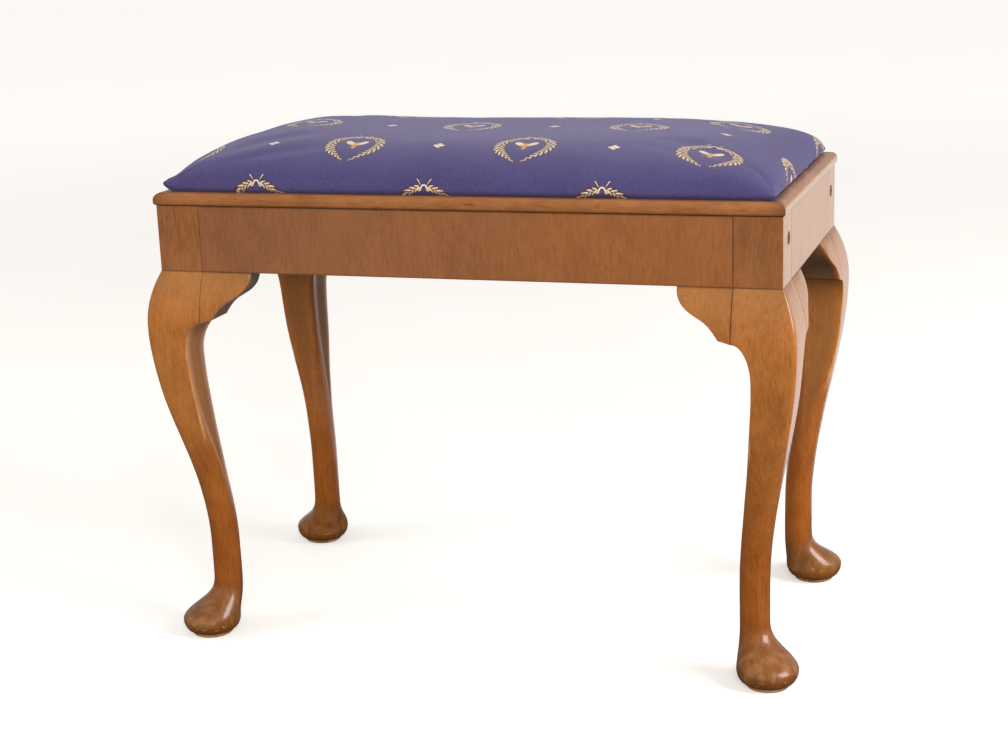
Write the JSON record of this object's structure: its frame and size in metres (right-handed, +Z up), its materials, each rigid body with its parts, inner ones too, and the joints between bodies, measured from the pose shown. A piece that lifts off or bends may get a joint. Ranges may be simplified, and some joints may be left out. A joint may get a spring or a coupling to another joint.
{
  "type": "vanity stool",
  "caption": "Oblong walnut dressing stool with cabriole legs, pad feet, scrolled ears, a veneered frieze and a crowned drop-in upholstered seat that lifts out.",
  "frame": {"origin": "on the floor under the middle of the stool", "axes": "+X along the length, +Y to the back, +Z up"},
  "size_m": [0.599, 0.327, 0.475],
  "materials": {
    "leg_walnut": "satin lacquered golden walnut",
    "ear_walnut": "satin lacquered golden walnut",
    "rail_beech": "bare sawn and planed hardwood",
    "frieze_veneer": "cross-grained walnut veneer, satin lacquer",
    "moulding_walnut": "lacquered walnut, rubbed on the edges",
    "dark_peg": "dark stained end grain",
    "block_pine": "bare pine",
    "screw_steel": "dull steel",
    "seat_beech": "bare planed hardwood",
    "webbing_jute": "woven jute strap",
    "hessian_jute": "open woven jute cloth",
    "stuffing_fibre": "matted fibre and wadding",
    "cover_cloth": "blue-violet woven furnishing cloth with cream and gold sprigs"
  },
  "bodies": {
    "frame": {"leg_front_left": "leg_walnut", "leg_front_right": "leg_walnut", "leg_back_right": "leg_walnut", "leg_back_left": "leg_walnut", "ear_front_left_long": "ear_walnut", "ear_front_left_end": "ear_walnut", "ear_front_right_long": "ear_walnut", "ear_front_right_end": "ear_walnut", "ear_back_right_long": "ear_walnut", "ear_back_right_end": "ear_walnut", "ear_back_left_long": "ear_walnut", "ear_back_left_end": "ear_walnut", "rail_front": "rail_beech", "rail_back": "rail_beech", "rail_left": "rail_beech", "rail_right": "rail_beech", "veneer_front": "frieze_veneer", "veneer_back": "frieze_veneer", "veneer_left": "frieze_veneer", "veneer_right": "frieze_veneer", "moulding_front": "moulding_walnut", "moulding_back": "moulding_walnut", "moulding_left": "moulding_walnut", "moulding_right": "moulding_walnut", "tenon_peg_front_left": "dark_peg", "tenon_peg_front_right": "dark_peg", "tenon_peg_back_right": "dark_peg", "tenon_peg_back_left": "dark_peg", "corner_block_front_left": "block_pine", "corner_block_front_right": "block_pine", "corner_block_back_right": "block_pine", "corner_block_back_left": "block_pine", "block_screw_front_left_long": "screw_steel", "block_screw_front_left_end": "screw_steel", "block_screw_front_right_long": "screw_steel", "block_screw_front_right_end": "screw_steel", "block_screw_back_right_long": "screw_steel", "block_screw_back_right_end": "screw_steel", "block_screw_back_left_long": "screw_steel", "block_screw_back_left_end": "screw_steel"},
    "seat": {"seat_rail_front": "seat_beech", "seat_rail_back": "seat_beech", "seat_rail_left": "seat_beech", "seat_rail_right": "seat_beech", "webbing_along_1": "webbing_jute", "webbing_along_2": "webbing_jute", "webbing_across_1": "webbing_jute", "webbing_across_2": "webbing_jute", "webbing_across_3": "webbing_jute", "webbing_across_4": "webbing_jute", "seat_hessian": "hessian_jute", "seat_stuffing": "stuffing_fibre", "seat_cover": "cover_cloth"}
  },
  "joints": [
    {"name": "seat_lift", "type": "slide", "parent": "frame", "child": "seat", "axis": [0, 0, 1], "range_m": [0, 0.12]}
  ]
}
